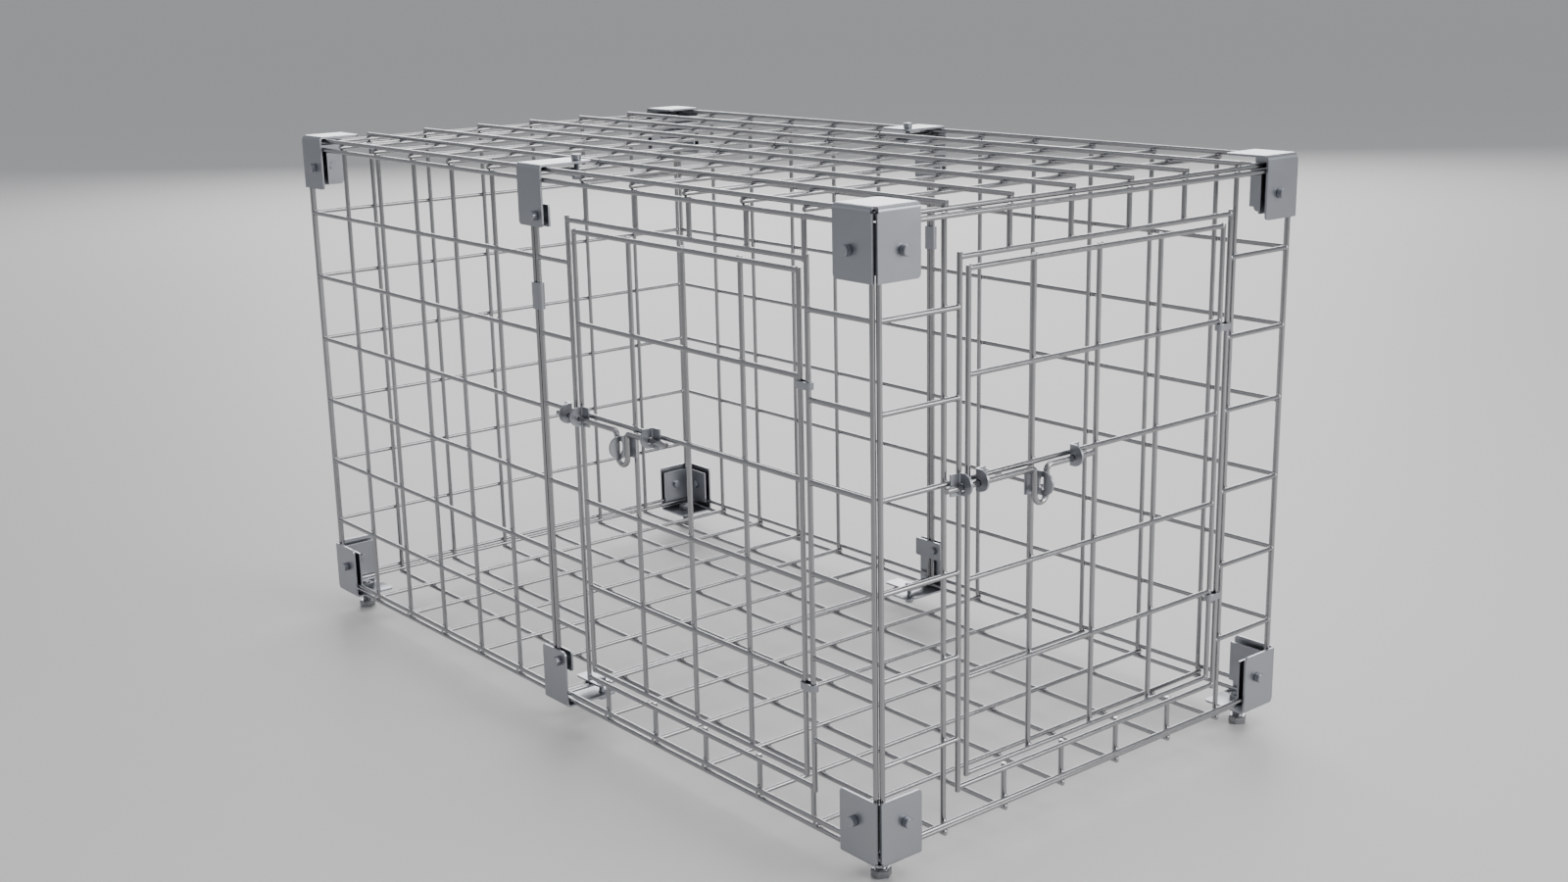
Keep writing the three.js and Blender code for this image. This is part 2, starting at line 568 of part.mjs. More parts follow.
for (const [level, up] of [['top', true], ['bottom', false]]) {
  for (const [depth, back] of [['front', false], ['back', true]]) {
    for (const [end, side] of [['left', -1], ['right', 1]]) {
      addPiece(`${level}_${depth}_${end}_cap`, cornerCap(!up), 'sheet', placed(side, back, up));
      addPiece(`${level}_${depth}_${end}_clamp`, cornerClamp(), 'sheet', placed(side, back, up));
      if (!up) addPiece(`${depth}_${end}_foot`, foot(), 'fastener', placed(side, back, true)
        .setPosition(side * END_X, back ? SIDE_Y : -SIDE_Y, BASE_Z));
    }
    addPiece(`${level}_${depth}_mid_strap`, midStrap(), 'sheet', placed(0, back, up));
    addPiece(`${level}_${depth}_mid_wall_clamp`, wallClamp(), 'sheet', placed(0, back, up));
    addPiece(`${level}_${depth}_mid_deck_clamp`, deckClamp(), 'sheet', placed(0, back, up));
  }
}

for (const [depth, front] of [['front', true], ['back', false]]) {
  addPiece(`${depth}_mid_sleeve`,
    band(longPlane(front), -MID_X, 2 * MID_X, SLEEVE_LOW, SLEEVE_TALL, CLIP_SHEET), 'sheet');
}

const centre = new THREE.Box3().setFromObject(cage).getCenter(new THREE.Vector3());
cage.position.set(-centre.x, -centre.y, 0);

export default group;
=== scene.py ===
"""The looks of the kennel cage: round welded wire, bent sheet hardware, screws and foot bolts.

Shapes are worked out in millimetres from the middle of the cage at floor level, with +X to the
right end, +Y to the back and +Z up. Each CAD node gets one detailed piece in its place.
"""

import json
import math

import bpy
from mathutils import Matrix, Vector


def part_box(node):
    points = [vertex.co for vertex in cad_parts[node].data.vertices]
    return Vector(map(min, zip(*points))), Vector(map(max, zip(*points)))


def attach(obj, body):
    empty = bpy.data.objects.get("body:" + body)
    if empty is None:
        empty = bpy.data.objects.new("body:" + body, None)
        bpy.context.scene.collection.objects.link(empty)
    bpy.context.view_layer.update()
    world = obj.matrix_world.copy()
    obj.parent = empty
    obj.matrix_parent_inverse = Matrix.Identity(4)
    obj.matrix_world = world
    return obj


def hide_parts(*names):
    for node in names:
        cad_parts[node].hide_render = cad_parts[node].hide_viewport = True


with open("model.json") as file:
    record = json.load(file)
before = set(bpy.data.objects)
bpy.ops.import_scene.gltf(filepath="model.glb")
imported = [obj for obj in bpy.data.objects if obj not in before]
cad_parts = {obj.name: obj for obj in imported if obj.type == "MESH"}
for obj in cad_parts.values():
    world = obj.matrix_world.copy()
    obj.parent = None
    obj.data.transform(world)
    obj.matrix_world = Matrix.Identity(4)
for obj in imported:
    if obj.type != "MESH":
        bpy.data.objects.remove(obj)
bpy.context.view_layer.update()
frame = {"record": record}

# ------------------------------------------------------------------ driving dimensions
WIRE = 2.25                # wire radius
LAYER = 4.455              # distance between crossing layers of wire
LONG_BAY = 75
END_BAY = 70
RISE = 70
LONG_BAYS = 6
END_BAYS = 7
HIGH_BAYS = 7
CORNER_STEP = 3.5          # an end panel's edge wire stands this far round the corner
MID_X = 3                  # centre line to a half panel's first wire
BASE_Z = 34                # floor to the bottom rails
LONG_X = MID_X + LONG_BAY * LONG_BAYS
END_X = LONG_X + CORNER_STEP           # wire planes of the ends and of the long sides
END_Y = END_BAY * END_BAYS / 2
SIDE_Y = END_Y + CORNER_STEP
HIGH = RISE * HIGH_BAYS
TOP_Z = BASE_Z + HIGH
DECK_STEP = 4.92           # side rail to the nearer layer of the roof or floor

OPEN_WIDE = 326            # door opening, between its posts
OPEN_LOW = 28
OPEN_HIGH = 458
POST_END = 4
DOOR_GAP = 9.5             # post to door edge
FRONT_POST = 380           # centre line to the front hinge post
DOOR_COLS = 4
DOOR_ROWS = 5
DOOR_WIDE = OPEN_WIDE - 2 * DOOR_GAP
DOOR_LOW = OPEN_LOW + DOOR_GAP
DOOR_HIGH = OPEN_HIGH - DOOR_GAP
DOOR_RISE = (DOOR_HIGH - DOOR_LOW) / DOOR_ROWS
LATCH_ROW = 3              # door rail that carries the bolt
LATCH_T = DOOR_LOW + LATCH_ROW * DOOR_RISE
HINGE_ROWS = {"lower": 1, "upper": 4}

BOLT = 2.5                 # latch bolt radius
BOLT_N = 6.9               # bolt axis, outwards from the door's wires and up from its latch rail
BOLT_T = LATCH_T - 3.2
BOLT_FROM = -30
BOLT_TO = 138
HANDLES = {"front": (71.6, 7.5, 9), "end": (75.5, 6.6, -9)}    # middle, half width, tab's foot
HANDLE_DROP = 29.5
HANDLE_BEND = 5            # bend from the bolt into each side of its handle
LUG = 2                    # thickness of guides, keepers and padlock tabs
GUIDE_T = LATCH_T - 1
GUIDE_N = 8
GUIDE_R = 9
GUIDE_FOOT = 9
GUIDES = {"bolt_keeper": (-13, -GUIDE_FOOT), "bolt_guide_outer": (5, GUIDE_FOOT),
          "bolt_guide_inner": (113, GUIDE_FOOT)}
TAB_T = LATCH_T - 16.5
TAB_N = 10.5
TAB_R = 10
SLOT_N = 9.5               # padlock slot in a tab: its middle, half length and end radius
SLOT_HALF = 2
SLOT_R = 3.4
LUG_BEND = 2.4             # outer bend between a lug and its foot
FOOT_SHEET = 1.5           # thickness of that foot

SHEET = 2                  # caps, straps and clamps
CAP_IN = 2.5               # wire plane to the inside of a cap's side face
CAP_OUT = CAP_IN + SHEET
DECK_IN = DECK_STEP + LAYER + WIRE + 0.25
DECK_OUT = DECK_IN + SHEET
CAP_WIDE = 46
CAP_TALL = 56
STRAP_WIDE = 39
STRAP_DEEP = 57
BEND = 4
SEAM = 2.4
RELIEF = 3
CORNER_ROUND = 4
CLAMP_OUT = -2.6
CLAMP_IN = CLAMP_OUT - SHEET
CLAMP_LOW = -37
CLAMP_HIGH = 1.6
CLAMP_TALL = 20
STUD = 2.5                 # radii of studs and their heads
HEAD = 4.5
HEAD_TALL = 5.5
NUT_FLATS = 8
NUT_TALL = 4
STUD_IN = 24
STUD_DOWN = 19.5
STRAP_STUD = 9
WALL_STUD_DOWN = 32
DECK_STUD_IN = 42
FOOT_IN = 19
FOOT_FLATS = 15
FOOT_SHANK = 5
FOOT_TALL = 7
FOOT_NUT = 6
SLEEVE_LOW = 371.5
SLEEVE_TALL = 25
CLIP_TALL = 6
STRIP = 1.5                # thickness of sleeves and hinge clips
STRIP_GAP = 0.45           # clearances: strip to wire, bracket to wire, screw to its hole, head to sheet
LUG_GAP = 0.2
CLIP_GAP = 0.4             # hinge clip below its door rail
HOLE_GAP = 0.6
HEAD_GAP = 0.05
CROSS_WELD = (3.0, 3.0, 1.1)           # weld lumps' reach along s, t and outwards
BUTT_WELD = (1.9, 2.9, 2.7)            # along the butting wire, across it and outwards
BUTT_IN = 1.6              # a butt weld's middle, from the other wire's axis

MM = 0.001
X, Y, Z = Vector((1, 0, 0)), Vector((0, 1, 0)), Vector((0, 0, 1))
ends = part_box("left_end_panel")[0].x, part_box("right_end_panel")[1].x
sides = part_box("front_left_panel")[0].y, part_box("back_left_panel")[1].y
TO_FRAME = Matrix.Translation((sum(ends) / 2, sum(sides) / 2, 0)) @ Matrix.Scale(MM, 4)
BODY_OF = {node: body for body, nodes in frame["record"]["behaviour"]["bodies"].items() for node in nodes}


# ------------------------------------------------------------------ shapes
class Shape:
    """Points in millimetres and the faces between them, turned outwards."""

    def __init__(self, points=(), faces=()):
        self.points, self.faces = list(points), list(faces)

    def add(self, other):
        start = len(self.points)
        self.points += other.points
        self.faces += [[start + i for i in face] for face in other.faces]
        return self


def rings_shape(rings):
    """Skin over rings of equal size, which turn left-handed as seen from the last one."""
    count = len(rings[0])
    faces = [list(range(count))[::-1]]
    for k in range(len(rings) - 1):
        low, high = k * count, (k + 1) * count
        faces += [[low + i, low + (i + 1) % count, high + (i + 1) % count, high + i] for i in range(count)]
    faces.append([(len(rings) - 1) * count + i for i in range(count)])
    return Shape([point for ring in rings for point in ring], faces)


def tube(path, normal, radius, sides=16, chamfer=0.4):
    """Round wire along a path that lies in one plane, with its ends chamfered."""
    first, last = (path[1] - path[0]).normalized(), (path[-1] - path[-2]).normalized()
    places = [path[0], path[0] + first * chamfer, *path[1:-1], path[-1] - last * chamfer, path[-1]]
    rings = []
    for k, place in enumerate(places):
        ahead = (places[min(k + 1, len(places) - 1)] - places[max(k - 1, 0)]).normalized()
        side = ahead.cross(normal)
        reach = radius - (chamfer if k in (0, len(places) - 1) else 0)
        rings.append([place + (normal * math.cos(a) + side * math.sin(a)) * reach
                      for a in (2 * math.pi * i / sides for i in range(sides))])
    return rings_shape(rings)


def turned(profile, foot, axis, sides=32):
    """Radius and height pairs, turned about an axis that stands on foot."""
    u = axis.orthogonal().normalized() if abs(axis.z) < 0.5 else X
    v = axis.cross(u)
    return rings_shape([[foot + axis * high + (u * math.cos(a) + v * math.sin(a)) * radius
                         for a in (2 * math.pi * i / sides for i in range(sides))]
                        for radius, high in profile])


def bead(centre, reach, segments=12, rows=6):
    """A lump of weld: an ellipsoid that reaches this far along X, Y and Z."""
    rings = []
    for k in range(rows + 1):
        up = math.pi * (min(max(k, 0.15), rows - 0.15) / rows - 0.5)
        rings.append([centre + Vector((math.cos(up) * math.cos(a) * reach[0],
                                       math.cos(up) * math.sin(a) * reach[1], math.sin(up) * reach[2]))
                      for a in (2 * math.pi * i / segments for i in range(segments))])
    return rings_shape(rings)


def extrude(outline, origin, u, v, w, depth):
    """A flat outline in (u, v), extruded by depth along w from origin; u, v and w are right-handed."""
    area = sum(a[0] * b[1] - b[0] * a[1] for a, b in zip(outline, outline[1:] + outline[:1]))
    base = [origin + u * x + v * y for x, y in (outline if area > 0 else outline[::-1])]
    return rings_shape([base, [point + w * depth for point in base]])


def arc(centre, radius, start, end, steps=8):
    """Points of an arc, its angles in degrees."""
    angles = [math.radians(start + (end - start) * k / steps) for k in range(steps + 1)]
    return [(centre[0] + radius * math.cos(a), centre[1] + radius * math.sin(a)) for a in angles]


def scratch(shape):
    mesh = bpy.data.meshes.new("scratch")
    mesh.from_pydata(shape.points, [], shape.faces)
    item = bpy.data.objects.new("scratch", mesh)
    bpy.context.collection.objects.link(item)
    return item


def carve(shape, tools, operation="DIFFERENCE"):
    """The shape after each tool has been taken from it, joined to it or crossed with it."""
    items = [scratch(shape), *map(scratch, tools)]
    for tool in items[1:]:
        step = items[0].modifiers.new("carve", "BOOLEAN")
        step.operation, step.solver, step.object = operation, "EXACT", tool
    bpy.context.view_layer.update()
    mesh = bpy.data.meshes.new_from_object(items[0].evaluated_get(bpy.context.evaluated_depsgraph_get()))
    carved = Shape([point.co.copy() for point in mesh.vertices],
                   [list(face.vertices) for face in mesh.polygons])
    for item in items:
        bpy.data.objects.remove(item)
    return carved


# ------------------------------------------------------------------ materials
def zinc(name, color, rough, gloss_spread, uneven, grain, bump):
    """Zinc plate: a metal whose gloss and tone vary a little over its surface."""
    material = bpy.data.materials.new(name)
    material.use_nodes = True
    nodes, links = material.node_tree.nodes, material.node_tree.links
    shader = nodes["Principled BSDF"]
    shader.inputs["Metallic"].default_value = 1.0
    place = nodes.new("ShaderNodeTexCoord").outputs["Object"]

    def noise(scale, detail):
        node = nodes.new("ShaderNodeTexNoise")
        node.inputs["Scale"].default_value = scale
        node.inputs["Detail"].default_value = detail
        links.new(place, node.inputs["Vector"])
        return node.outputs["Fac"]

    def spread(value, low, high):
        node = nodes.new("ShaderNodeMapRange")
        node.inputs["From Min"].default_value = 0.3
        node.inputs["From Max"].default_value = 0.7
        node.inputs["To Min"].default_value = low
        node.inputs["To Max"].default_value = high
        links.new(value, node.inputs["Value"])
        return node.outputs["Result"]

    tone = nodes.new("ShaderNodeMix")
    tone.data_type = "RGBA"
    tone.inputs["A"].default_value = (*[c * (1 - uneven) for c in color], 1)
    tone.inputs["B"].default_value = (*color, 1)
    links.new(spread(noise(28, 5), 0, 1), tone.inputs["Factor"])
    links.new(tone.outputs["Result"], shader.inputs["Base Color"])
    gloss = spread(noise(grain, 4), rough * (1 - gloss_spread), rough * (1 + gloss_spread))
    links.new(gloss, shader.inputs["Roughness"])
    relief = nodes.new("ShaderNodeBump")
    relief.inputs["Strength"].default_value = bump
    relief.inputs["Distance"].default_value = 0.0004
    links.new(noise(grain * 2, 3), relief.inputs["Height"])
    links.new(relief.outputs["Normal"], shader.inputs["Normal"])
    return material


FINISHES = {
    "wire": zinc("bright zinc wire", (0.36, 0.36, 0.37), 0.17, 0.25, 0.08, 180, 0.05),
    "sheet": zinc("satin zinc sheet", (0.36, 0.37, 0.40), 0.34, 0.04, 0.02, 60, 0.0),
    "fastener": zinc("zinc fasteners", (0.34, 0.345, 0.36), 0.28, 0.20, 0.10, 300, 0.04),
}


def piece(node, shape, matrix=Matrix(), bevel=0.0):
    """Puts a shape in a CAD node's place, on the same body and in the same finish."""
    mesh = bpy.data.meshes.new(node + "_look")
    mesh.from_pydata([matrix @ Vector(point) for point in shape.points], [], shape.faces)
    if matrix.determinant() < 0:
        mesh.flip_normals()
    mesh.transform(TO_FRAME)
    mesh.shade_smooth()
    mesh.set_sharp_from_angle(angle=math.radians(32))
    item = bpy.data.objects.new(node + "_look", mesh)
    bpy.context.collection.objects.link(item)
    if bevel:
        rounding = item.modifiers.new("edges", "BEVEL")
        rounding.width, rounding.segments = bevel * MM, 2
        rounding.limit_method, rounding.angle_limit = "ANGLE", math.radians(32)
        rounding.harden_normals = True
    slot = next(sub["material_slot"] for sub in frame["record"]["subparts"] if sub["node"] == node)
    mesh.materials.append(FINISHES[slot])
    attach(item, BODY_OF[node])
    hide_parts(node)
    return item


# ------------------------------------------------------------------ welded mesh
class Grid:
    """Wires on a plane: s and t run in the plane and n is its outward normal."""

    def __init__(self, origin, s, t, n):
        self.origin, self.s, self.t, self.n = Vector(origin), s, t, n
        self.uprights, self.levels = [], []

    def at(self, s, t, n=0.0):
        return self.origin + self.s * s + self.t * t + self.n * n

    def upright(self, s, low, high, layer=0):
        self.uprights.append((s, low, high, layer))

    def level(self, t, left, right, layer=0):
        self.levels.append((t, left, right, layer))

    def frame(self, left, right, low, high):
        for s in (left, right):
            self.upright(s, low - WIRE, high + WIRE)
        for t in (low, high):
            self.level(t, left, right)

    def inner(self, s, low, high):
        self.upright(s, low - WIRE, high + WIRE, 1)

    def reach(self, along_s, along_t, along_n):
        """Sizes along s, t and n, as sizes along X, Y and Z."""
        return [abs(self.s[i]) * along_s + abs(self.t[i]) * along_t + abs(self.n[i]) * along_n
                for i in range(3)]

    def weld(self, upright, level):
        """A flattened lump where layers cross, or a collar where one wire butts against another."""
        s, low, high, inner = upright
        t, left, right, deep = level
        if not (low - 1 <= t <= high + 1 and left - 1 <= s <= right + 1):
            return Shape()
        if inner != deep:
            return bead(self.at(s, t, -LAYER / 2), self.reach(*CROSS_WELD))
        ends = {"s": (left - s, right - s), "t": (low - t, high - t)}
        push = {way: (abs(a) > 5) - (abs(b) > 5) for way, (a, b) in ends.items()}
        along, across, out = BUTT_WELD
        if push["s"]:
            return bead(self.at(s - push["s"] * BUTT_IN, t, -inner * LAYER), self.reach(along, across, out))
        if push["t"]:
            return bead(self.at(s, t - push["t"] * BUTT_IN, -inner * LAYER), self.reach(across, along, out))
        return Shape()

    def shape(self):
        whole = Shape()
        for s, low, high, layer in self.uprights:
            depth = -layer * LAYER
            whole.add(tube([self.at(s, low, depth), self.at(s, high, depth)], self.n, WIRE))
        for t, left, right, layer in self.levels:
            depth = -layer * LAYER
            whole.add(tube([self.at(left, t, depth), self.at(right, t, depth)], self.n, WIRE))
        for upright in self.uprights:
            for level in self.levels:
                whole.add(self.weld(upright, level))
        return whole


def steps(count, pitch, start=0.0):
    return [start + pitch * (i + 1) for i in range(count)]


def long_plane(front):
    return Grid((0, -SIDE_Y if front else SIDE_Y, BASE_Z), X, Z, -Y if front else Y)


def end_plane(right):
    return Grid((END_X if right else -END_X, 0, BASE_Z), Y, Z, X if right else -X)


def plain_panel(grid, left, right, bays):
    grid.frame(left, right, 0, HIGH)
    for t in steps(HIGH_BAYS - 1, RISE):
        grid.level(t, left, right)
    for s in steps(bays - 1, (right - left) / bays, left):
        grid.inner(s, 0, HIGH)
    return grid.shape()


def doorway(grid, low_post, high_post, strips, stubs):
    """Posts and rails of an opening, short rails beside it and short uprights above and below."""
    for s in (low_post, high_post):
        grid.upright(s, OPEN_LOW - POST_END, OPEN_HIGH + POST_END)
    for t in (OPEN_LOW, OPEN_HIGH):
        grid.level(t, low_post, high_post)
    for t in steps(HIGH_BAYS - 1, RISE):
        for left, right in strips:
            grid.level(LATCH_T if abs(t - LATCH_T) < RISE / 4 else t, left, right)
    for s in stubs:
        grid.inner(s, 0, OPEN_LOW)
        grid.inner(s, OPEN_HIGH, HIGH)


def front_door_panel():
    grid = long_plane(True)
    grid.frame(MID_X, LONG_X, 0, HIGH)
    last = MID_X + LONG_BAY * (LONG_BAYS - 1)
    free = FRONT_POST - OPEN_WIDE
    doorway(grid, free, FRONT_POST, [(MID_X, free), (FRONT_POST, LONG_X)],
            steps(LONG_BAYS - 2, LONG_BAY, MID_X))
    grid.upright(last, 0, OPEN_LOW)
    grid.upright(last, OPEN_HIGH, HIGH)
    return grid.shape()


def end_door_panel():
    grid = end_plane(True)
    post = OPEN_WIDE / 2
    grid.frame(-END_Y, END_Y, 0, HIGH)
    doorway(grid, -post, post, [(-END_Y, -post), (post, END_Y)],
            steps(END_BAYS - 3, END_BAY, END_BAY - END_Y))
    for side in (-1, 1):
        grid.inner(side * (END_Y - END_BAY), 0, HIGH)
    return grid.shape()


def deck_panel(right, up):
    high = TOP_Z + DECK_STEP + LAYER if up else BASE_Z - DECK_STEP - LAYER
    grid = Grid((0, 0, high), X, Y, Z if up else -Z)
    first, last = (MID_X, LONG_X) if right else (-LONG_X, -MID_X)
    for t in [-END_Y, *steps(END_BAYS, END_BAY, -END_Y)]:
        grid.level(t, first - WIRE, last + WIRE)
    for s in [first, *steps(LONG_BAYS, LONG_BAY, first)]:
        grid.upright(s, -SIDE_Y, SIDE_Y, 1)
    return grid.shape()


# ------------------------------------------------------------------ doors and latches
def door_plane(name):
    """A door's grid: s from its free edge to its hinges, t from the doorway panel's bottom rail."""
    if name == "front":
        return Grid((FRONT_POST - OPEN_WIDE + DOOR_GAP, -SIDE_Y, BASE_Z), X, Z, -Y)
    return Grid((END_X, -OPEN_WIDE / 2 + DOOR_GAP, BASE_Z), Y, Z, X)


def door(grid):
    grid.frame(0, DOOR_WIDE, DOOR_LOW, DOOR_HIGH)
    for t in steps(DOOR_ROWS - 1, DOOR_RISE, DOOR_LOW):
        grid.level(t, 0, DOOR_WIDE)
    for s in steps(DOOR_COLS - 1, DOOR_WIDE / DOOR_COLS):
        grid.inner(s, DOOR_LOW, DOOR_HIGH)
    return grid.shape()


def stadium(radius, span):
    return arc((0, 0), radius, 90, 270, 16) + arc((span, 0), radius, -90, 90, 16)


def band(grid, s, span, low, tall):
    """A strip bent into a closed band round two uprights."""
    across = grid.t.cross(grid.s)
    outer, inner = (extrude(stadium(WIRE + gap, span), grid.at(s, low - extra), grid.s, across, grid.t,
                            tall + 2 * extra) for gap, extra in ((STRIP_GAP + STRIP, 0), (STRIP_GAP, 1)))
    return carve(outer, [inner])


def lug_outline(base, t, n, radius):
    return [(t + radius, base), *arc((t, n), radius, 0, 180, 24), (t - radius, base)]


def bracket(grid, s, foot, base, t, n, radius):
    """A sheet bent once: a D-shaped lug that stands on a foot."""
    way = 1 if foot > 0 else -1
    near = s if foot > 0 else s + LUG
    far = s + LUG + foot if foot > 0 else s + foot
    bend = arc((near + way * LUG_BEND, base + LUG_BEND), LUG_BEND, 270, 180 if way > 0 else 360)
    inside = arc((near + way * 2.9, base + 3.3), 0.9, 180 if way > 0 else 360, 270)
    profile = [(far, base), *bend, (near, n + radius + 1), (near + way * LUG, n + radius + 1), *inside,
               (far, base + FOOT_SHEET)]
    strip = extrude(profile, grid.at(0, t + radius), grid.s, grid.n, -grid.t, 2 * radius)
    trim = extrude(lug_outline(base - 1, t, n, radius), grid.at(min(far, near) - 1, 0),
                   grid.t, grid.n, grid.s, GUIDE_FOOT + LUG + 2)
    return carve(strip, [trim], "INTERSECT")


def across_lug(grid, outline, s):
    """A cutter through a lug at s, from an outline in (t, n)."""
    return extrude(outline, grid.at(s - 2, 0), grid.t, grid.n, grid.s, LUG + 4)


def bolt_guide(grid, s, foot):
    shape = bracket(grid, s, foot, WIRE + LUG_GAP, GUIDE_T, GUIDE_N, GUIDE_R)
    return carve(shape, [across_lug(grid, arc((BOLT_T, BOLT_N), BOLT + HOLE_GAP, 0, 345, 23), s)])


def lock_tab(grid, middle, foot):
    shape = bracket(grid, middle - LUG / 2, foot, WIRE - LAYER + LUG_GAP, TAB_T, TAB_N, TAB_R)
    slot = (arc((TAB_T - SLOT_HALF, SLOT_N), SLOT_R, 90, 270, 12)
            + arc((TAB_T + SLOT_HALF, SLOT_N), SLOT_R, -90, 90, 12))
    return carve(shape, [across_lug(grid, slot, middle - LUG / 2)])


def latch_bolt(grid, middle, half):
    """One rod, bent down, round and up again into a drop handle."""
    low = -HANDLE_DROP + half
    corner = half + HANDLE_BEND
    path = [(BOLT_FROM - middle, 0), *arc((-corner, -HANDLE_BEND), HANDLE_BEND, 90, 0),
            *arc((0, low), half, 180, 360, 16), *arc((corner, -HANDLE_BEND), HANDLE_BEND, 180, 90),
            (BOLT_TO - middle, 0)]
    return tube([grid.at(middle + s, BOLT_T + t, BOLT_N) for s, t in path], grid.n, BOLT, 20, 0.7)


# ------------------------------------------------------------------ caps, straps and clamps
# Drawn in (a, b, c): outwards along X, Y and Z from where the wire planes meet the rails.
def corner_matrix(side, back, up):
    flips = Matrix.Diagonal((side or 1, 1 if back else -1, 1 if up else -1, 1))
    return Matrix.Translation((side * END_X, SIDE_Y if back else -SIDE_Y, TOP_Z if up else BASE_Z)) @ flips


def bent_profile(u_end, v_end):
    centre = (CAP_OUT - BEND, DECK_OUT - BEND)
    return [(CAP_OUT, v_end), *arc(centre, BEND, 0, 90), (u_end, DECK_OUT), (u_end, DECK_IN),
            *arc(centre, BEND - SHEET, 90, 0), (CAP_IN, v_end)]


def flap(u_low, u_high, v_low, v_high, both=False):
    """A rectangle with a rounded corner at u_low, v_low, and at u_high, v_low if both."""
    r = CORNER_ROUND
    right = arc((u_high - r, v_low + r), r, 270, 360) if both else [(u_high, v_low)]
    return [(u_low, v_high), *arc((u_low + r, v_low + r), r, 180, 270), *right, (u_high, v_high)]


def hole(radius, foot, axis, depth):
    return turned([(radius, 0), (radius, depth)], foot, axis, 28)


def corner_cap(has_foot):
    inner = CAP_OUT - CAP_WIDE
    low = DECK_OUT - CAP_TALL
    seam = CAP_IN - SEAM / 2
    far = DECK_OUT + 1
    profile = bent_profile(inner, low)
    over_a = extrude(profile, Vector((0, seam, 0)), X, Z, -Y, seam - inner)
    over_b = extrude(profile, Vector((inner, 0, 0)), Y, Z, X, seam - inner)
    whole = carve(over_a, [over_b], "UNION")
    sheet = carve(whole, [
        extrude(flap(inner, CAP_OUT + 1, low, far), Vector((inner - 1, 0, 0)), Y, Z, X, CAP_WIDE + 2),
        extrude(flap(inner, CAP_OUT + 1, low, far), Vector((0, CAP_OUT + 1, 0)), X, Z, -Y, CAP_WIDE + 2),
        extrude(flap(inner, CAP_OUT + 1, inner, CAP_OUT + 1), Vector((0, 0, low - 1)), X, Y, Z, CAP_TALL + 2),
    ], "INTERSECT")
    holes = [hole(STUD + HOLE_GAP, Vector((CAP_IN - 3, -STUD_IN, -STUD_DOWN)), X, SHEET + 6),
             hole(STUD + HOLE_GAP, Vector((-STUD_IN, CAP_IN - 3, -STUD_DOWN)), Y, SHEET + 6),
             hole(RELIEF, Vector((CAP_IN, CAP_IN, DECK_IN - 3)), Z, SHEET + 4)]
    if has_foot:
        holes.append(hole(FOOT_SHANK + HOLE_GAP, Vector((-FOOT_IN, -FOOT_IN, DECK_IN - 1)), Z, SHEET + 2))
    return carve(sheet, holes)


def nut(flats, tall, foot, axis):
    """A hexagonal nut or head with chamfered corners."""
    corner = flats / math.sqrt(3)
    edge = 0.12 * flats / 2
    profile = [(corner - edge, 0), (corner, edge * 0.7), (corner, tall - edge * 0.7), (corner - edge, tall)]
    return turned(profile, foot, axis, 6)


def threads(radius, low, high, pitch):
    """Profile of a threaded rod: a ridge at each turn."""
    turns = int((high - low) / pitch)
    ridges = [(radius - 0.35 * pitch * (half == 0), low + pitch * (i + half))
              for i in range(turns) for half in (0, 0.5)]
    return [(radius - 0.7 * pitch, low), *ridges, (radius - 0.7 * pitch, high)]


def stud(foot, axis, head_from, nut_from):
    """A screw with a plain round head outside, and its nut and thread end inside."""
    head = turned([(HEAD - 0.5, 0), (HEAD, 0.5), (HEAD, HEAD_TALL - 0.6), (HEAD - 0.6, HEAD_TALL)],
                  foot + axis * head_from, axis)
    shank = turned(threads(STUD, nut_from - NUT_TALL - 0.1, head_from + 0.5, 0.8), foot, axis, 16)
    inside = nut(NUT_FLATS, NUT_TALL - 0.4, foot + axis * (nut_from - NUT_TALL + 0.3), axis)
    return head.add(shank).add(inside)


def corner_clamp():
    end = CAP_OUT - CAP_WIDE + 0.5
    angle = [(CLAMP_OUT, end), *arc((CLAMP_OUT - 4, CLAMP_OUT - 4), 4, 0, 90), (end, CLAMP_OUT),
             (end, CLAMP_IN), *arc((CLAMP_OUT - 4, CLAMP_OUT - 4), 2, 90, 0), (CLAMP_IN, end)]
    plates = extrude(angle, Vector((0, 0, CLAMP_LOW)), X, Y, Z, CLAMP_HIGH - CLAMP_LOW)
    return plates, [stud(Vector((0, -STUD_IN, -STUD_DOWN)), X, CAP_OUT + HEAD_GAP, CLAMP_IN),
                    stud(Vector((-STUD_IN, 0, -STUD_DOWN)), Y, CAP_OUT + HEAD_GAP, CLAMP_IN)]


def mid_strap():
    half = STRAP_WIDE / 2
    inner = CAP_OUT - STRAP_DEEP
    low = DECK_OUT - CAP_TALL
    strip = extrude(bent_profile(inner, low), Vector((-half, 0, 0)), Y, Z, X, STRAP_WIDE)
    wall_side = flap(-half, half, low, DECK_OUT + 1, True)
    deck_side = flap(-half, half, inner, CAP_OUT + 1, True)
    sheet = carve(strip, [
        extrude(wall_side, Vector((0, CAP_OUT + 1, 0)), X, Z, -Y, STRAP_DEEP + 2),
        extrude(deck_side, Vector((0, 0, low - 1)), X, Y, Z, CAP_TALL + 2),
    ], "INTERSECT")
    wall_hole = hole(STUD + HOLE_GAP, Vector((STRAP_STUD, CAP_IN - 1, -WALL_STUD_DOWN)), Y, SHEET + 2)
    deck_hole = hole(STUD + HOLE_GAP, Vector((STRAP_STUD, -DECK_STUD_IN, DECK_IN - 1)), Z, SHEET + 2)
    return carve(sheet, [wall_hole, deck_hole])


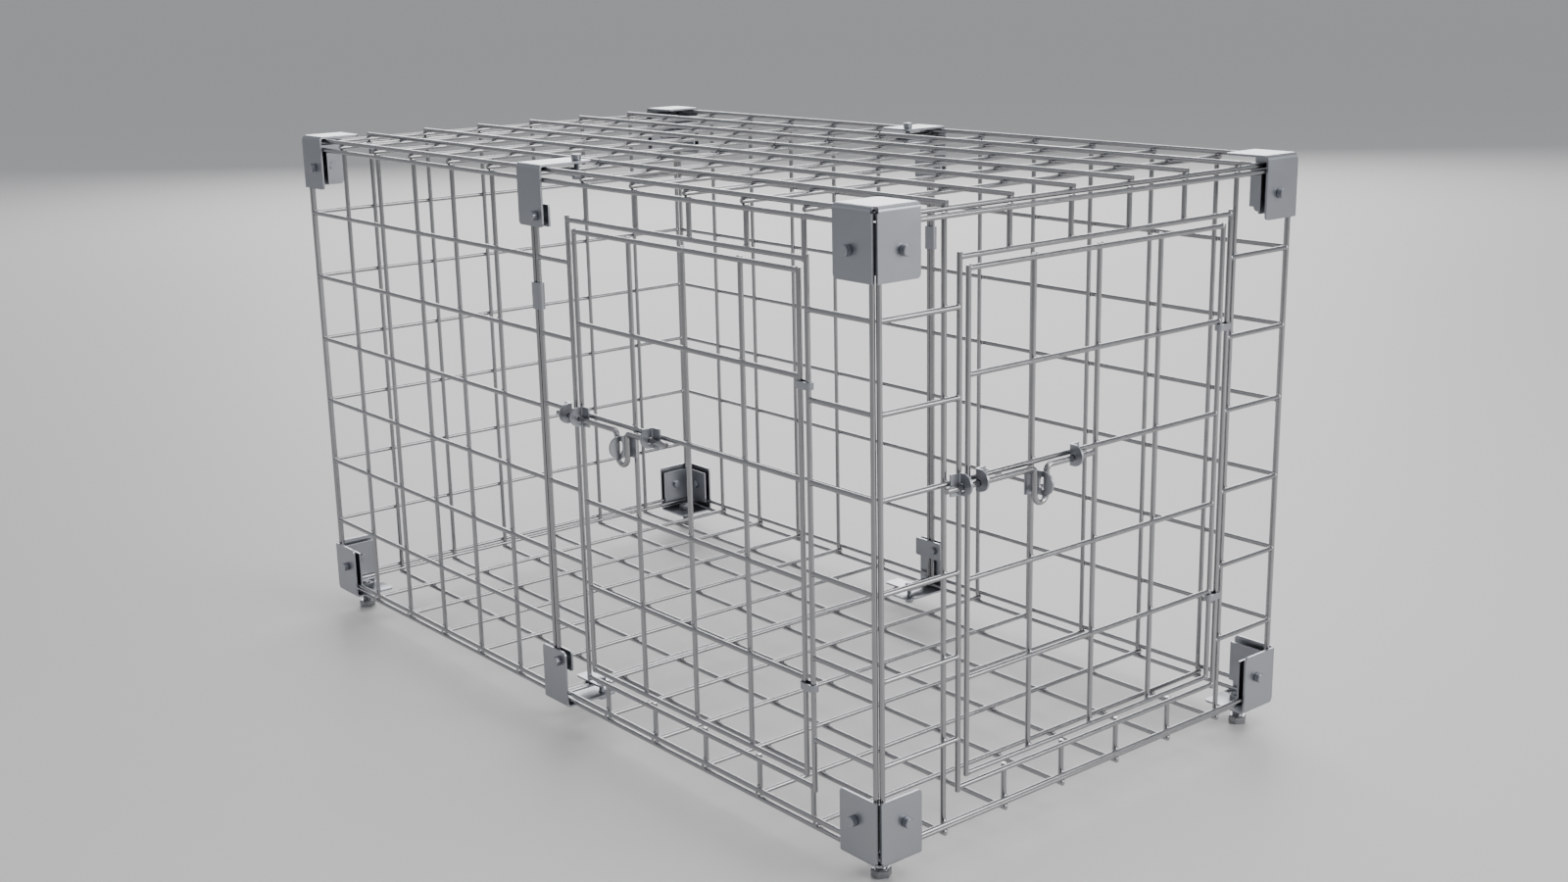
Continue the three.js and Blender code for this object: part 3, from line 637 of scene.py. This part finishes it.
def clamp_plate(origin, u, v, w):
    """A flat clamp plate with rounded corners, centred on origin."""
    half, tall, r = STRAP_WIDE / 2, CLAMP_TALL / 2, 2
    outline = [point for sx, sy, turn in ((1, 1, 0), (-1, 1, 90), (-1, -1, 180), (1, -1, 270))
               for point in arc((sx * (half - r), sy * (tall - r)), r, turn, turn + 90, 5)]
    return extrude(outline, origin, u, v, w, SHEET)


def wall_clamp():
    plate = clamp_plate(Vector((0, CLAMP_OUT, -WALL_STUD_DOWN)), X, Z, -Y)
    return plate, [stud(Vector((STRAP_STUD, 0, -WALL_STUD_DOWN)), Y, CAP_OUT + HEAD_GAP, CLAMP_IN)]


def deck_clamp():
    top = DECK_STEP - WIRE - LUG_GAP
    plate = clamp_plate(Vector((0, -DECK_STUD_IN, top - SHEET)), X, Y, Z)
    return plate, [stud(Vector((STRAP_STUD, -DECK_STUD_IN, 0)), Z, DECK_OUT + HEAD_GAP, top - SHEET)]


def with_studs(shape):
    """A clamp's plate and its screws as one shape."""
    plate, screws = shape
    for screw in screws:
        plate.add(screw)
    return plate


def foot():
    base = Vector((-FOOT_IN, -FOOT_IN, 0))
    head_top = -BASE_Z + FOOT_TALL
    nut_low = -DECK_IN + 0.1
    shape = nut(FOOT_FLATS, FOOT_TALL, base - Z * BASE_Z, Z)
    shape.add(turned([(FOOT_SHANK + 1.8, head_top - 0.1), (FOOT_SHANK + 1.8, head_top + 0.4)], base, Z))
    shape.add(turned(threads(FOOT_SHANK, head_top, nut_low + FOOT_NUT + 2, 1.5), base, Z))
    return shape.add(nut(FOOT_FLATS, FOOT_NUT, base + Z * nut_low, Z))


# ------------------------------------------------------------------ the cage
piece("front_left_panel", plain_panel(long_plane(True), -LONG_X, -MID_X, LONG_BAYS))
piece("back_left_panel", plain_panel(long_plane(False), -LONG_X, -MID_X, LONG_BAYS))
piece("back_right_panel", plain_panel(long_plane(False), MID_X, LONG_X, LONG_BAYS))
piece("left_end_panel", plain_panel(end_plane(False), -END_Y, END_Y, END_BAYS))
piece("front_door_panel", front_door_panel())
piece("right_end_panel", end_door_panel())
for level, up in (("roof", True), ("floor", False)):
    for half, right in (("left", False), ("right", True)):
        piece(f"{level}_{half}_panel", deck_panel(right, up))

for name, (middle, half, tab_foot) in HANDLES.items():
    grid = door_plane(name)
    piece(f"{name}_door", door(door_plane(name)))
    piece(f"{name}_latch_bolt", latch_bolt(grid, middle, half))
    for guide, (s, guide_foot) in GUIDES.items():
        piece(f"{name}_{guide}", bolt_guide(grid, s, guide_foot), bevel=0.25)
    piece(f"{name}_lock_tab", lock_tab(grid, middle, tab_foot), bevel=0.25)
    for place, row in HINGE_ROWS.items():
        top = DOOR_LOW + row * DOOR_RISE - WIRE - CLIP_GAP
        clip = band(grid, DOOR_WIDE, DOOR_GAP, top - CLIP_TALL, CLIP_TALL)
        piece(f"{name}_hinge_{place}", clip, bevel=0.25)

caps = {True: corner_cap(False), False: corner_cap(True)}
strap = mid_strap()
clamps = {"clamp": with_studs(corner_clamp()), "mid_wall_clamp": with_studs(wall_clamp()),
          "mid_deck_clamp": with_studs(deck_clamp())}
for level, up in (("top", True), ("bottom", False)):
    for depth, back in (("front", False), ("back", True)):
        for end, side in (("left", -1), ("right", 1)):
            matrix = corner_matrix(side, back, up)
            piece(f"{level}_{depth}_{end}_cap", caps[up], matrix, 0.35)
            piece(f"{level}_{depth}_{end}_clamp", clamps["clamp"], matrix)
            if not up:
                piece(f"{depth}_{end}_foot", foot(),
                      Matrix.Translation((side * END_X, SIDE_Y if back else -SIDE_Y, BASE_Z))
                      @ Matrix.Diagonal((side, 1 if back else -1, 1, 1)))
        matrix = corner_matrix(0, back, up)
        piece(f"{level}_{depth}_mid_strap", strap, matrix, 0.35)
        for name in ("mid_wall_clamp", "mid_deck_clamp"):
            piece(f"{level}_{depth}_{name}", clamps[name], matrix)
for depth, front in (("front", True), ("back", False)):
    sleeve = band(long_plane(front), -MID_X, 2 * MID_X, SLEEVE_LOW, SLEEVE_TALL)
    piece(f"{depth}_mid_sleeve", sleeve, bevel=0.3)


# ------------------------------------------------------------------ stage, light and camera
VIEW_AZIMUTH = math.radians(50.66)
VIEW_ELEVATION = math.radians(14.46)
VIEW_ROLL = math.radians(-1.18)
VIEW_LENS = 42.36
VIEW_FROM = Vector((1429.7, -1134.0, 705.5))


def floor_material():
    material = bpy.data.materials.new("pale floor")
    material.use_nodes = True
    shader = material.node_tree.nodes["Principled BSDF"]
    shader.inputs["Base Color"].default_value = (0.66, 0.65, 0.64, 1)
    shader.inputs["Roughness"].default_value = 0.55
    return material


bpy.ops.mesh.primitive_circle_add(vertices=96, radius=300, fill_type="NGON", location=(0, 0, 0))
floor = bpy.context.object
floor.name = "studio_floor"
floor.data.materials.append(floor_material())


def softbox(name, place, size, power, target=(0, 0, 0.28)):
    light = bpy.data.lights.new(name, "AREA")
    light.shape, light.size, light.size_y, light.energy = "RECTANGLE", *size, power
    item = bpy.data.objects.new(name, light)
    item.location = place
    item.rotation_euler = (Vector(target) - Vector(place)).to_track_quat("-Z", "Y").to_euler()
    bpy.context.collection.objects.link(item)


softbox("overhead", (0.5, 0.6, 3.0), (3.0, 2.4), 40)
softbox("back_left", (-3.4, 3.0, 1.9), (4.0, 1.9), 150)
softbox("right_side", (3.4, 1.4, 1.7), (2.4, 1.8), 95)
softbox("front_fill", (-1.6, -3.4, 1.6), (2.0, 1.2), 5)

world = bpy.data.worlds.new("studio")
world.use_nodes = True
world.node_tree.nodes["Background"].inputs["Color"].default_value = (0.80, 0.83, 0.87, 1)
world.node_tree.nodes["Background"].inputs["Strength"].default_value = 0.56
bpy.context.scene.world = world

lens = bpy.data.cameras.new("camera")
lens.lens = VIEW_LENS
lens.sensor_width = 36
camera = bpy.data.objects.new("camera", lens)
turn = Matrix.Rotation(VIEW_AZIMUTH, 3, "Z") @ Matrix.Rotation(math.pi / 2 - VIEW_ELEVATION, 3, "X")
turn = turn @ Matrix.Rotation(VIEW_ROLL, 3, "Z")
camera.matrix_world = Matrix.Translation(TO_FRAME @ VIEW_FROM) @ turn.to_4x4()
bpy.context.collection.objects.link(camera)
bpy.context.scene.camera = camera
